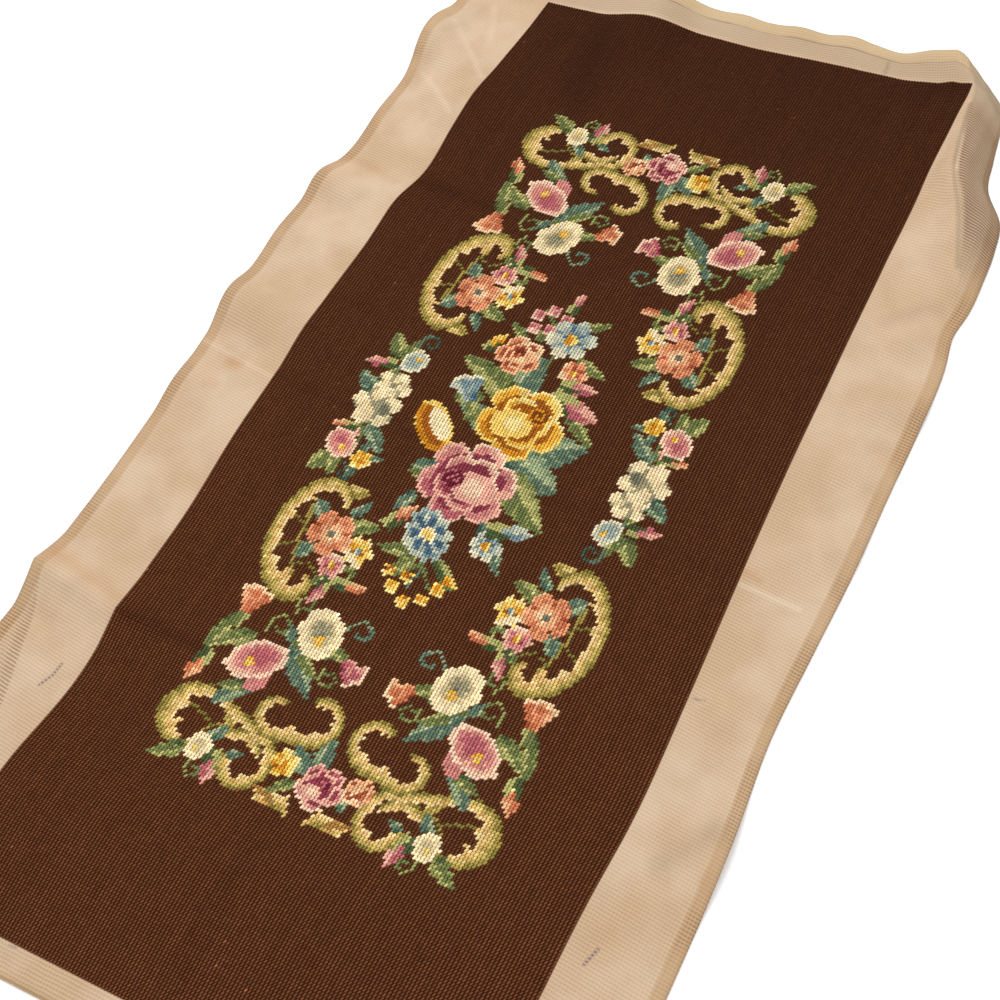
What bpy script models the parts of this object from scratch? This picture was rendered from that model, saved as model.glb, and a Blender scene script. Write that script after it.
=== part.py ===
"""Needlepoint canvas panel: one piece of double-thread canvas, lying on a flat surface.

The middle of the canvas is filled with wool stitches, which make it thicker there. Bare canvas is
left all round it, with a selvedge on both long sides and a turned hem across the far end. The canvas
lies flat but for the ripples along its left side, a bump under the far hem, and the far right corner,
which stands up in a ridge and drops to the surface beyond it.

Places on the cloth are counted in stitches: columns across from the left edge of the wool, and rows
along from its near edge.
"""

from collections import namedtuple

import bpy
import numpy as np

# Driving dimensions, in metres
COLUMN = 0.00254
ROW = 0.002665
CANVAS_THICK = 0.0012
HEM_THICK = 0.0021
WOOL_THICK = 0.0026

# Driving counts, in stitches
WOOL_COLUMNS = 158
WOOL_ROWS = 355
LEFT_EDGE = -30
RIGHT_EDGE = WOOL_COLUMNS + 28
NEAR_EDGE = -8.5
FAR_EDGE = WOOL_ROWS + 13
HEM_ROW = FAR_EDGE - 4.5
STEP = 0.4

WOOL_COLOUR = (0.075, 0.032, 0.014, 1.0)
CANVAS_COLOUR = (0.66, 0.53, 0.38, 1.0)

# How far the four long lines of the cloth wander to the right of straight, in columns
Drift = namedtuple("Drift", "row left_edge left_wool right_wool right_edge")
DRIFTS = (
    Drift(-8.5, 0.0, 0.0, 0.0, 0.0),
    Drift(38, -0.5, -2.2, 0.3, 0.3),
    Drift(67, 0.8, 1.4, 0.9, 0.4),
    Drift(92, 0.2, 0.0, 2.3, 0.2),
    Drift(126, 1.2, 0.3, 1.6, -2.0),
    Drift(152, 1.0, -1.1, 0.6, -1.0),
    Drift(178, 0.2, -1.2, -0.4, 0.2),
    Drift(205, -0.8, -1.6, -1.1, 0.4),
    Drift(230, -0.5, -0.6, -1.3, 0.8),
    Drift(252, 0.8, -0.2, -1.5, 0.4),
    Drift(264, 3.8, 2.4, -1.5, -1.4),
    Drift(285, 3.8, 1.7, -1.5, 0.2),
    Drift(301, 4.6, 1.4, -1.2, 0.0),
    Drift(318, 1.8, 2.8, -0.9, 0.0),
    Drift(340, 4.0, 4.8, 0.4, 0.0),
    Drift(355, 4.6, 5.6, 1.0, 0.0),
    Drift(368, 5.0, 6.2, -2.2, 0.0),
)

# How far the far edges of the wool and of the hem wander beyond straight, in rows
Reach = namedtuple("Reach", "column wool hem")
REACHES = (
    Reach(-30, -4.0, -4.0),
    Reach(0, -4.6, -4.6),
    Reach(23, -3.4, -3.8),
    Reach(40, -2.4, -2.8),
    Reach(57, -1.0, -1.4),
    Reach(80, -0.8, -1.2),
    Reach(104, 1.0, 0.4),
    Reach(120, 1.6, 0.6),
    Reach(131, 1.2, -2.0),
    Reach(142, 1.0, 0.0),
    Reach(152, 1.6, 1.2),
    Reach(158, 1.6, 0.6),
    Reach(186, 0.0, 0.0),
)
REACH_START = 250

# Ripples and bumps: middle, half sizes and height in millimetres; lean turns the crest, in rows for each
# column; a sharp fold has a tent's section and a round one a wave's
Fold = namedtuple("Fold", "column row half_columns half_rows height lean sharp")
FOLDS = (
    Fold(-30, 92, 58, 13, 13.0, -0.10, True),
    Fold(-30, 66, 36, 15, 4.5, 0.0, False),
    Fold(-30, 162, 34, 13, 4.0, 0.0, False),
    Fold(-30, 196, 46, 15, 11.0, -0.10, False),
    Fold(-30, 226, 30, 14, 3.0, 0.0, False),
    Fold(-30, 250, 42, 11, 7.5, 0.0, False),
    Fold(-27, 325, 38, 17, 11.5, -0.80, False),
    Fold(-13, 298, 19, 9, 4.0, -0.70, False),
    Fold(40, 372, 21, 44, 15.0, 0.0, False),
    Fold(72, 372, 9, 16, 3.0, 0.0, False),
    Fold(93, 372, 9, 16, 3.0, 0.0, False),
    Fold(112, 372, 10, 18, 4.0, 0.0, False),
    Fold(186, 92, 24, 22, 4.5, 0.5, False),
    Fold(172, 128, 13, 12, 2.5, 0.0, False),
    Fold(176, 182, 14, 11, 3.5, 0.3, False),
    Fold(172, 207, 13, 10, 3.0, 0.2, False),
    Fold(177, 233, 14, 10, 4.5, 0.2, False),
    Fold(174, 258, 14, 10, 4.0, 0.3, False),
)

# The far right corner: heights in millimetres at the columns named, and how far the outer edge is
# drawn in, in columns, and towards the near end, in rows
CORNER_COLUMNS = (104, 118, 132, 145, 152, 158, 165, 172, 179, 186)
Corner = namedtuple("Corner", "row heights pull draw")
CORNERS = (
    Corner(262, (0, 0, 0, 0, 0, 0, 0, 0, 0, 0), 0.0, 0.0),
    Corner(273, (0, 0, 0, 0, 0, 0, 0.5, 1.5, 3, 0), -1.0, 0.0),
    Corner(285, (0, 0, 0, 0, 0, 0.5, 1.5, 5, 8, 0), 0.0, 0.0),
    Corner(299, (0, 0, 0, 0.5, 1, 1.5, 3.5, 13, 11, 0), 0.5, 0.0),
    Corner(310, (0, 0, 0, 1, 2, 3, 8, 18, 12, 0), 2.5, 0.0),
    Corner(321, (0, 0, 0.5, 2, 3.5, 6, 17, 20, 11, 0), 10.0, 0.0),
    Corner(334, (0, 0, 1, 4, 7, 12, 21, 18, 9, 0), 12.5, 1.0),
    Corner(348, (0, 0, 2.5, 8, 13.5, 20, 21, 15, 7, 0), 14.0, 5.0),
    Corner(359, (0, 0.5, 4, 11, 17.5, 22, 17, 10, 4, 0), 15.0, 9.0),
    Corner(368, (0, 1, 6.5, 15, 18.5, 13, 7, 3.5, 1.5, 0), 16.0, 13.0),
)
PULL_START = 154
PULL_POWER = 1.5
DRAW_START = 150


def through(knots, values, at):
    """A smooth curve through the values: between two knots it is a cubic whose slope at each knot is that
    of the straight line between its two neighbours. It is level beyond the ends."""
    knots = np.asarray(knots, float)
    values = np.asarray(values, float)
    at = np.clip(at, knots[0], knots[-1])
    slopes = np.gradient(values, knots, axis=0)
    slopes[0] = slopes[-1] = 0
    cell = np.clip(np.searchsorted(knots, at, side="right") - 1, 0, len(knots) - 2)
    width = knots[cell + 1] - knots[cell]
    t = (at - knots[cell]) / width
    start, end = values[cell], values[cell + 1]
    leave, arrive = slopes[cell] * width, slopes[cell + 1] * width
    bend = 2 * t**3 - 3 * t**2
    return (1 + bend) * start - bend * end + (t**3 - 2 * t**2 + t) * leave + (t**3 - t**2) * arrive


def wave(distance):
    """1 in the middle, falling as a cosine to 0 at a distance of 1 and staying there."""
    return 0.5 + 0.5 * np.cos(np.pi * np.clip(np.abs(distance), 0, 1))


def tent(distance):
    """1 in the middle, falling almost straight to 0 at a distance of 1 and staying there."""
    return (1 - np.clip(np.abs(distance), 0, 1)) ** 1.4


def fold_heights(column, row):
    """The ripples and bumps together, in millimetres: each is a crest that fades out at both ends."""
    height = np.zeros_like(column)
    for fold in FOLDS:
        section = tent if fold.sharp else wave
        along = (row - fold.row - fold.lean * (column - fold.column)) / fold.half_rows
        height += fold.height * wave((column - fold.column) / fold.half_columns) * section(along)
    return height


def corner_heights(column, row):
    """The raised corner, in millimetres: the table's rows joined smoothly, then its columns."""
    rows = [corner.row for corner in CORNERS]
    height = np.zeros_like(column)
    across = [through(rows, [corner.heights[i] for corner in CORNERS], row) for i in range(len(CORNER_COLUMNS))]
    for i in range(len(CORNER_COLUMNS) - 1):
        start, end = CORNER_COLUMNS[i : i + 2]
        t = np.clip((column - start) / (end - start), 0, 1)
        ease = t * t * (3 - 2 * t)
        inside = (column >= start) & (column <= end)
        height = np.where(inside, across[i] + (across[i + 1] - across[i]) * (0.5 * t + 0.5 * ease), height)
    return np.maximum(height, 0)


def cloth(column, row):
    """The underside of the canvas: the straight place of each stitch, plus the drift of the long lines,
    the reach of the far end, the pull of the raised corner, and the heights of the folds."""
    rows = [drift.row for drift in DRIFTS]
    left_edge = through(rows, [drift.left_edge for drift in DRIFTS], row)
    left_wool = through(rows, [drift.left_wool for drift in DRIFTS], row)
    right_wool = through(rows, [drift.right_wool for drift in DRIFTS], row)
    right_edge = through(rows, [drift.right_edge for drift in DRIFTS], row)
    in_left = np.clip((column - LEFT_EDGE) / -LEFT_EDGE, 0, 1)
    in_wool = np.clip(column / WOOL_COLUMNS, 0, 1)
    in_right = np.clip((column - WOOL_COLUMNS) / (RIGHT_EDGE - WOOL_COLUMNS), 0, 1)
    shift = left_edge + (left_wool - left_edge) * in_left
    shift = shift + (right_wool - left_wool) * in_wool + (right_edge - right_wool) * in_right

    places = [reach.column for reach in REACHES]
    wool = through(places, [reach.wool for reach in REACHES], column)
    hem = through(places, [reach.hem for reach in REACHES], column)
    in_wool = np.clip((row - REACH_START) / (WOOL_ROWS - REACH_START), 0, 1)
    in_end = np.clip((row - WOOL_ROWS) / (FAR_EDGE - WOOL_ROWS), 0, 1)
    reach = wool * in_wool**2 + (hem - wool) * in_end

    rows = [corner.row for corner in CORNERS]
    pull = through(rows, [corner.pull for corner in CORNERS], row)
    draw = through(rows, [corner.draw for corner in CORNERS], row)
    outward = np.clip((column - PULL_START) / (RIGHT_EDGE - PULL_START), 0, 1)
    shift = shift - pull * outward**PULL_POWER
    reach = reach - draw * np.clip((column - DRAW_START) / (RIGHT_EDGE - DRAW_START), 0, 1)

    x = (column + shift) * COLUMN
    y = (row + reach) * ROW
    z = (fold_heights(column, row) + corner_heights(column, row)) / 1000
    return np.stack([x, y, z], axis=-1)


def lines(*stretches):
    """Grid lines on the cloth, from stretches of a start, an end and a number of steps."""
    parts = [np.linspace(start, end, steps + 1)[:-1] for start, end, steps in stretches]
    return np.concatenate(parts + [[stretches[-1][1]]])


def thickness(column, row):
    """The share of the full thickness: all of it under the wool, less at the hem, least on bare canvas."""
    wool = (column > 0) & (column < WOOL_COLUMNS) & (row > 0) & (row < WOOL_ROWS)
    hem = row > HEM_ROW
    return np.where(wool, 1.0, np.where(hem, HEM_THICK / WOOL_THICK, CANVAS_THICK / WOOL_THICK))


def material(name, colour, roughness):
    made = bpy.data.materials.new(name)
    made.use_nodes = True
    shader = made.node_tree.nodes["Principled BSDF"]
    shader.inputs["Base Color"].default_value = colour
    shader.inputs["Roughness"].default_value = roughness
    shader.inputs["Metallic"].default_value = 0.0
    return made


def canvas_panel():
    """The cloth as one open surface on a grid of its own columns and rows, made solid upwards from its
    underside, so that it rests on the surface where its heights are zero."""
    columns = lines(
        (LEFT_EDGE, -STEP, 7),
        (-STEP, STEP, 1),
        (STEP, 30, 6),
        (30, 104, 5),
        (104, 146, 8),
        (146, WOOL_COLUMNS - STEP, 4),
        (WOOL_COLUMNS - STEP, WOOL_COLUMNS + STEP, 1),
        (WOOL_COLUMNS + STEP, RIGHT_EDGE, 9),
    )
    rows = lines(
        (NEAR_EDGE, -STEP, 1),
        (-STEP, STEP, 1),
        (STEP, 52, 6),
        (52, 108, 15),
        (108, 264, 30),
        (264, WOOL_ROWS - STEP, 24),
        (WOOL_ROWS - STEP, WOOL_ROWS + STEP, 1),
        (WOOL_ROWS + STEP, HEM_ROW - STEP, 2),
        (HEM_ROW - STEP, HEM_ROW + STEP, 1),
        (HEM_ROW + STEP, FAR_EDGE, 1),
    )
    column, row = np.meshgrid(columns, rows, indexing="ij")
    points = cloth(column, row)
    middle = (points.min(axis=(0, 1)) + points.max(axis=(0, 1))) / 2
    points[..., :2] -= middle[:2]

    index = np.arange(column.size).reshape(column.shape)
    corners = (index[:-1, :-1], index[1:, :-1], index[1:, 1:], index[:-1, 1:])
    faces = np.stack([corner.ravel() for corner in corners], axis=1)

    mesh = bpy.data.meshes.new("canvas_panel")
    mesh.from_pydata(points.reshape(-1, 3).tolist(), [], faces.tolist())
    panel = bpy.data.objects.new("canvas_panel", mesh)
    collection.objects.link(panel)

    group = panel.vertex_groups.new(name="thickness")
    shares = thickness(column, row).ravel()
    for share in np.unique(shares):
        group.add(np.flatnonzero(shares == share).tolist(), float(share), "REPLACE")

    mesh.materials.append(material("bare_canvas", CANVAS_COLOUR, 0.9))
    mesh.materials.append(material("wool_stitches", WOOL_COLOUR, 0.95))
    middles = points_of_faces(column, corners), points_of_faces(row, corners)
    worked = (thickness(*middles) == 1.0).astype(np.int32)
    mesh.polygons.foreach_set("material_index", worked)

    solid = panel.modifiers.new("thickness", "SOLIDIFY")
    solid.thickness = WOOL_THICK
    solid.offset = 1.0
    solid.vertex_group = "thickness"
    return panel


def points_of_faces(values, corners):
    """The mean of a value over each face's corners."""
    flat = values.ravel()
    return sum(flat[corner.ravel()] for corner in corners) / len(corners)


for old in list(bpy.data.objects):
    bpy.data.objects.remove(old, do_unlink=True)
collection = bpy.data.collections.new("needlepoint_canvas_panel")
bpy.context.scene.collection.children.link(collection)
canvas_panel()
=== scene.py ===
"""The looks of the needlepoint canvas panel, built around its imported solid.

Places on the cloth are counted in stitches, as in the part's source: columns across from the left edge of
the wool, and rows along from its near edge.
"""

from collections import namedtuple

import bpy
import numpy as np
from mathutils import Matrix, Vector


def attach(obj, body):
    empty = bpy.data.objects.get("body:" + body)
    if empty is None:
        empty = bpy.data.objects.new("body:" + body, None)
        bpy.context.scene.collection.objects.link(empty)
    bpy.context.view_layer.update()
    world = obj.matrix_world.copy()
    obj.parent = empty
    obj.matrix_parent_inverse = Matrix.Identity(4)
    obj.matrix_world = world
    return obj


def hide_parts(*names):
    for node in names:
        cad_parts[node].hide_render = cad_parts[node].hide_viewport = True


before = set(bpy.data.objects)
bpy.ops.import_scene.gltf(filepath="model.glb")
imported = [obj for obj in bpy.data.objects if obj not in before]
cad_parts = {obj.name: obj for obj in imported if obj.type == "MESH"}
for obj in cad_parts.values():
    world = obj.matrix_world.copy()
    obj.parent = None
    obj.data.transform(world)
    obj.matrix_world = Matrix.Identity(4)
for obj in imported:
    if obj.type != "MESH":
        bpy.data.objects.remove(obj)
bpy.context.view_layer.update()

# The photo was taken from above the near right corner, looking down at 57 degrees, with the camera rolled
# a little. Its place and lens come from a perspective fit to the stitch rows and columns.
CAMERA_PLACE = (0.4125, -0.6241, 1.0632)
CAMERA_RIGHT = Vector((0.89119, 0.44443, -0.09091))
CAMERA_UP = Vector((-0.32983, 0.77241, 0.54277))
LENS_MM = 61.85
SENSOR_MM = 36

camera_data = bpy.data.cameras.new("camera")
camera_data.sensor_fit = "HORIZONTAL"
camera_data.sensor_width = SENSOR_MM
camera_data.lens = LENS_MM
camera = bpy.data.objects.new("camera", camera_data)
turn = Matrix((CAMERA_RIGHT, CAMERA_UP, CAMERA_RIGHT.cross(CAMERA_UP))).transposed()
camera.matrix_world = Matrix.Translation(CAMERA_PLACE) @ turn.to_4x4()
bpy.context.scene.collection.objects.link(camera)
bpy.context.scene.camera = camera

# The canvas: double-thread cotton canvas with its selvedges left on, cut near and far, and turned and
# stitched down along the far end. It lies flat but for ripples along its left side, a bump under the far
# hem and the raised far right corner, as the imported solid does.
COLUMN = 0.00254
ROW = 0.002665
CANVAS_THICK = 0.0012
HEM_THICK = 0.0021
WOOL_COLUMNS = 158
WOOL_ROWS = 355
LEFT_EDGE = -30
RIGHT_EDGE = WOOL_COLUMNS + 28
NEAR_EDGE = -8.5
FAR_EDGE = WOOL_ROWS + 13
HEM_ROW = FAR_EDGE - 4.5

# How far the four long lines of the cloth wander to the right of straight, in columns
Drift = namedtuple("Drift", "row left_edge left_wool right_wool right_edge")
DRIFTS = (
    Drift(-8.5, 0.0, 0.0, 0.0, 0.0),
    Drift(38, -0.5, -2.2, 0.3, 0.3),
    Drift(67, 0.8, 1.4, 0.9, 0.4),
    Drift(92, 0.2, 0.0, 2.3, 0.2),
    Drift(126, 1.2, 0.3, 1.6, -2.0),
    Drift(152, 1.0, -1.1, 0.6, -1.0),
    Drift(178, 0.2, -1.2, -0.4, 0.2),
    Drift(205, -0.8, -1.6, -1.1, 0.4),
    Drift(230, -0.5, -0.6, -1.3, 0.8),
    Drift(252, 0.8, -0.2, -1.5, 0.4),
    Drift(264, 3.8, 2.4, -1.5, -1.4),
    Drift(285, 3.8, 1.7, -1.5, 0.2),
    Drift(301, 4.6, 1.4, -1.2, 0.0),
    Drift(318, 1.8, 2.8, -0.9, 0.0),
    Drift(340, 4.0, 4.8, 0.4, 0.0),
    Drift(355, 4.6, 5.6, 1.0, 0.0),
    Drift(368, 5.0, 6.2, -2.2, 0.0),
)

# How far the far edges of the wool and of the hem wander beyond straight, in rows
Reach = namedtuple("Reach", "column wool hem")
REACHES = (
    Reach(-30, -4.0, -4.0),
    Reach(0, -4.6, -4.6),
    Reach(23, -3.4, -3.8),
    Reach(40, -2.4, -2.8),
    Reach(57, -1.0, -1.4),
    Reach(80, -0.8, -1.2),
    Reach(104, 1.0, 0.4),
    Reach(120, 1.6, 0.6),
    Reach(131, 1.2, -2.0),
    Reach(142, 1.0, 0.0),
    Reach(152, 1.6, 1.2),
    Reach(158, 1.6, 0.6),
    Reach(186, 0.0, 0.0),
)
REACH_START = 250

# Ripples and bumps: middle, half sizes and height in millimetres; lean turns the crest, in rows for each
# column; a sharp fold has a tent's section and a round one a wave's
Fold = namedtuple("Fold", "column row half_columns half_rows height lean sharp")
FOLDS = (
    Fold(-30, 92, 58, 13, 13.0, -0.10, True),
    Fold(-30, 66, 36, 15, 4.5, 0.0, False),
    Fold(-30, 162, 34, 13, 4.0, 0.0, False),
    Fold(-30, 196, 46, 15, 11.0, -0.10, False),
    Fold(-30, 226, 30, 14, 3.0, 0.0, False),
    Fold(-30, 250, 42, 11, 7.5, 0.0, False),
    Fold(-27, 325, 38, 17, 11.5, -0.80, False),
    Fold(-13, 298, 19, 9, 4.0, -0.70, False),
    Fold(40, 372, 21, 44, 15.0, 0.0, False),
    Fold(72, 372, 9, 16, 3.0, 0.0, False),
    Fold(93, 372, 9, 16, 3.0, 0.0, False),
    Fold(112, 372, 10, 18, 4.0, 0.0, False),
    Fold(186, 92, 24, 22, 4.5, 0.5, False),
    Fold(172, 128, 13, 12, 2.5, 0.0, False),
    Fold(176, 182, 14, 11, 3.5, 0.3, False),
    Fold(172, 207, 13, 10, 3.0, 0.2, False),
    Fold(177, 233, 14, 10, 4.5, 0.2, False),
    Fold(174, 258, 14, 10, 4.0, 0.3, False),
)

# The far right corner: heights in millimetres at the columns named, and how far the outer edge is
# drawn in, in columns, and towards the near end, in rows
CORNER_COLUMNS = (104, 118, 132, 145, 152, 158, 165, 172, 179, 186)
Corner = namedtuple("Corner", "row heights pull draw")
CORNERS = (
    Corner(262, (0, 0, 0, 0, 0, 0, 0, 0, 0, 0), 0.0, 0.0),
    Corner(273, (0, 0, 0, 0, 0, 0, 0.5, 1.5, 3, 0), -1.0, 0.0),
    Corner(285, (0, 0, 0, 0, 0, 0.5, 1.5, 5, 8, 0), 0.0, 0.0),
    Corner(299, (0, 0, 0, 0.5, 1, 1.5, 3.5, 13, 11, 0), 0.5, 0.0),
    Corner(310, (0, 0, 0, 1, 2, 3, 8, 18, 12, 0), 2.5, 0.0),
    Corner(321, (0, 0, 0.5, 2, 3.5, 6, 17, 20, 11, 0), 10.0, 0.0),
    Corner(334, (0, 0, 1, 4, 7, 12, 21, 18, 9, 0), 12.5, 1.0),
    Corner(348, (0, 0, 2.5, 8, 13.5, 20, 21, 15, 7, 0), 14.0, 5.0),
    Corner(359, (0, 0.5, 4, 11, 17.5, 22, 17, 10, 4, 0), 15.0, 9.0),
    Corner(368, (0, 1, 6.5, 15, 18.5, 13, 7, 3.5, 1.5, 0), 16.0, 13.0),
)
PULL_START = 154
PULL_POWER = 1.5
DRAW_START = 150


def through(knots, values, at):
    """A smooth curve through the values: between two knots it is a cubic whose slope at each knot is that
    of the straight line between its two neighbours. It is level beyond the ends."""
    knots = np.asarray(knots, float)
    values = np.asarray(values, float)
    at = np.clip(at, knots[0], knots[-1])
    slopes = np.gradient(values, knots, axis=0)
    slopes[0] = slopes[-1] = 0
    cell = np.clip(np.searchsorted(knots, at, side="right") - 1, 0, len(knots) - 2)
    width = knots[cell + 1] - knots[cell]
    t = (at - knots[cell]) / width
    start, end = values[cell], values[cell + 1]
    leave, arrive = slopes[cell] * width, slopes[cell + 1] * width
    bend = 2 * t**3 - 3 * t**2
    return (1 + bend) * start - bend * end + (t**3 - 2 * t**2 + t) * leave + (t**3 - t**2) * arrive


def wave(distance):
    """1 in the middle, falling as a cosine to 0 at a distance of 1 and staying there."""
    return 0.5 + 0.5 * np.cos(np.pi * np.clip(np.abs(distance), 0, 1))


def tent(distance):
    """1 in the middle, falling almost straight to 0 at a distance of 1 and staying there."""
    return (1 - np.clip(np.abs(distance), 0, 1)) ** 1.4


def fold_heights(column, row):
    """The ripples and bumps together, in millimetres: each is a crest that fades out at both ends."""
    height = np.zeros_like(column)
    for fold in FOLDS:
        section = tent if fold.sharp else wave
        along = (row - fold.row - fold.lean * (column - fold.column)) / fold.half_rows
        height += fold.height * wave((column - fold.column) / fold.half_columns) * section(along)
    return height


def corner_heights(column, row):
    """The raised corner, in millimetres: the table's rows joined smoothly, then its columns."""
    rows = [corner.row for corner in CORNERS]
    height = np.zeros_like(column)
    heights = np.array([corner.heights for corner in CORNERS]).T
    across = [through(rows, column_heights, row) for column_heights in heights]
    for i in range(len(CORNER_COLUMNS) - 1):
        start, end = CORNER_COLUMNS[i : i + 2]
        t = np.clip((column - start) / (end - start), 0, 1)
        ease = t * t * (3 - 2 * t)
        inside = (column >= start) & (column <= end)
        height = np.where(inside, across[i] + (across[i + 1] - across[i]) * (0.5 * t + 0.5 * ease), height)
    return np.maximum(height, 0)


def cloth(column, row):
    """The underside of the canvas: the straight place of each stitch, plus the drift of the long lines,
    the reach of the far end, the pull of the raised corner, and the heights of the folds."""
    rows, *drifts = np.array(DRIFTS).T
    left_edge, left_wool, right_wool, right_edge = (through(rows, drift, row) for drift in drifts)
    in_left = np.clip((column - LEFT_EDGE) / -LEFT_EDGE, 0, 1)
    in_wool = np.clip(column / WOOL_COLUMNS, 0, 1)
    in_right = np.clip((column - WOOL_COLUMNS) / (RIGHT_EDGE - WOOL_COLUMNS), 0, 1)
    shift = left_edge + (left_wool - left_edge) * in_left
    shift = shift + (right_wool - left_wool) * in_wool + (right_edge - right_wool) * in_right

    places, *reaches = np.array(REACHES).T
    wool, hem = (through(places, reach, column) for reach in reaches)
    in_wool = np.clip((row - REACH_START) / (WOOL_ROWS - REACH_START), 0, 1)
    in_end = np.clip((row - WOOL_ROWS) / (FAR_EDGE - WOOL_ROWS), 0, 1)
    reach = wool * in_wool**2 + (hem - wool) * in_end

    rows = [corner.row for corner in CORNERS]
    pull = through(rows, [corner.pull for corner in CORNERS], row)
    draw = through(rows, [corner.draw for corner in CORNERS], row)
    outward = np.clip((column - PULL_START) / (RIGHT_EDGE - PULL_START), 0, 1)
    shift = shift - pull * outward**PULL_POWER
    reach = reach - draw * np.clip((column - DRAW_START) / (RIGHT_EDGE - DRAW_START), 0, 1)

    x = (column + shift) * COLUMN
    y = (row + reach) * ROW
    z = (fold_heights(column, row) + corner_heights(column, row)) / 1000
    return np.stack([x, y, z], axis=-1)


# The canvas is a grid of points this many stitches apart
CANVAS_STEP = 1.5
outline_columns = np.linspace(LEFT_EDGE, RIGHT_EDGE, round((RIGHT_EDGE - LEFT_EDGE) / CANVAS_STEP) + 1)
outline_rows = np.linspace(NEAR_EDGE, FAR_EDGE, round((FAR_EDGE - NEAR_EDGE) / CANVAS_STEP) + 1)
column, row = np.meshgrid(outline_columns, outline_rows, indexing="ij")
underside = cloth(column, row)
middle = (underside.min(axis=(0, 1)) + underside.max(axis=(0, 1))) / 2
middle[2] = 0


def grid_faces(count_u, count_v):
    """The four-cornered faces of a grid of points, listed with the second parameter running fastest."""
    index = np.arange(count_u * count_v).reshape(count_u, count_v)
    corners = (index[:-1, :-1], index[1:, :-1], index[1:, 1:], index[:-1, 1:])
    return np.stack([corner.ravel() for corner in corners], axis=1)


def new_piece(name, points, faces, material):
    """A smooth-shaded mesh object at the origin, with its place in its mesh."""
    mesh = bpy.data.meshes.new(name)
    mesh.from_pydata(points.reshape(-1, 3), [], faces)
    mesh.shade_smooth()
    mesh.materials.append(material)
    piece = bpy.data.objects.new(name, mesh)
    bpy.context.scene.collection.objects.link(piece)
    return piece


class Wire:
    """An output socket of a material's nodes. Python's operators on it add Math nodes."""

    def __init__(self, tree, socket=None):
        self.tree = tree
        self.socket = socket

    def node(self, kind, settings={}, values={}, output=0):
        """Adds a node: first its settings, then the values or wires of its input sockets."""
        made = self.tree.nodes.new(kind)
        for name, setting in settings.items():
            setattr(made, name, setting)
        for name, value in values.items():
            if isinstance(value, Wire):
                self.tree.links.new(value.socket, made.inputs[name])
            else:
                made.inputs[name].default_value = value
        return Wire(self.tree, made.outputs[output])

    def math(self, operation, *values):
        return self.node("ShaderNodeMath", {"operation": operation}, dict(enumerate(values)))

    def __add__(self, other):
        return self.math("ADD", self, other)

    __radd__ = __add__

    def __sub__(self, other):
        return self.math("SUBTRACT", self, other)

    def __rsub__(self, other):
        return self.math("SUBTRACT", other, self)

    def __mul__(self, other):
        return self.math("MULTIPLY", self, other)

    __rmul__ = __mul__

    def __truediv__(self, other):
        return self.math("DIVIDE", self, other)

    def __pow__(self, other):
        return self.math("POWER", self, other)

    def sine(self):
        return self.math("SINE", self)

    def size(self):
        return self.math("ABSOLUTE", self)

    def clipped(self):
        return self.node("ShaderNodeClamp", {}, {"Value": self})

    def least(self, other):
        return self.math("MINIMUM", self, other)

    def most(self, other):
        return self.math("MAXIMUM", self, other)

    def ramp(self, start, end):
        """0 at the start value, 1 at the end value, straight between and level beyond."""
        return self.node("ShaderNodeMapRange", {}, {"Value": self, "From Min": start, "From Max": end})

    def noise(self, scale, detail):
        """Soft noise from 0 to 1 about 0.5, with so many waves to the unit of its coordinates."""
        return self.node("ShaderNodeTexNoise", {}, {"Scale": scale, "Detail": detail, "Vector": self})

    def mixed(self, share, first, second):
        """Two colours mixed by a share: the first at 0 and the second at 1."""
        return self.node("ShaderNodeMix", {"data_type": "RGBA"}, {0: share, 6: first, 7: second}, 2)


def new_material(name, roughness):
    """A matt material, a wire to start its nodes from, and its shader."""
    made = bpy.data.materials.new(name)
    made.use_nodes = True
    shader = made.node_tree.nodes["Principled BSDF"]
    shader.inputs["Roughness"].default_value = roughness
    shader.inputs["Specular IOR Level"].default_value = 0.1
    return made, Wire(made.node_tree), shader


def screen(red, green, blue):
    """A colour given as on a screen, from 0 to 255, as the linear one that a shader takes."""
    share = np.array((red, green, blue)) / 255
    linear = np.where(share <= 0.04045, share / 12.92, ((share + 0.055) / 1.055) ** 2.4)
    return (*map(float, linear), 1.0)


# Old creases, folds and stains in the canvas: straight streaks from one place on it to another, faint to
# nothing over a half width in stitches. Light ones are painted highlights on the crests of folds, and creases
# faded pale by wear; dark ones are painted shade along folds and creases; rusty ones are stains.
Streak = namedtuple("Streak", "column row end_column end_row half strength")
HIGHLIGHT_AND_WEAR_STREAKS = (
    Streak(-29, 179, -0.6, 175, 1.4, 0.3),
    Streak(159, 164, 177, 163, 1.3, 0.5),
    Streak(-24, 332, -2, 311, 2.0, 0.3),
    Streak(-23, 305, -4, 292, 1.8, 0.3),
    Streak(-16, 345, -9, 330, 2.0, 0.25),
    Streak(165, 333, 169, 320, 1.4, 0.5),
)
PAINTED_SHADE_STREAKS = (
    Streak(161, 347, 167, 322, 1.6, 0.5),
    Streak(167, 322, 178, 287, 1.3, 0.35),
    Streak(126.5, 356, 127.5, 362, 1.3, 0.35),
    Streak(171, 84, 180, 97, 6.0, 0.2),
    Streak(-20, 341, -26, 300, 6.0, 0.12),
    Streak(166, 262, 176, 272, 4.0, 0.12),
)
RUSTY_STREAKS = (
    Streak(-16, 175, -14, 175, 3.5, 0.4),
    Streak(-18, 165, -16, 165, 3.0, 0.2),
    Streak(-27, 97, -2, 92, 4.5, 0.3),
    Streak(159, 168, 163, 167, 2.0, 0.3),
    Streak(-28, 262, -6, 258, 3.0, 0.2),
    Streak(165, 60, 172, 75, 7.0, 0.12),
)
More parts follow.
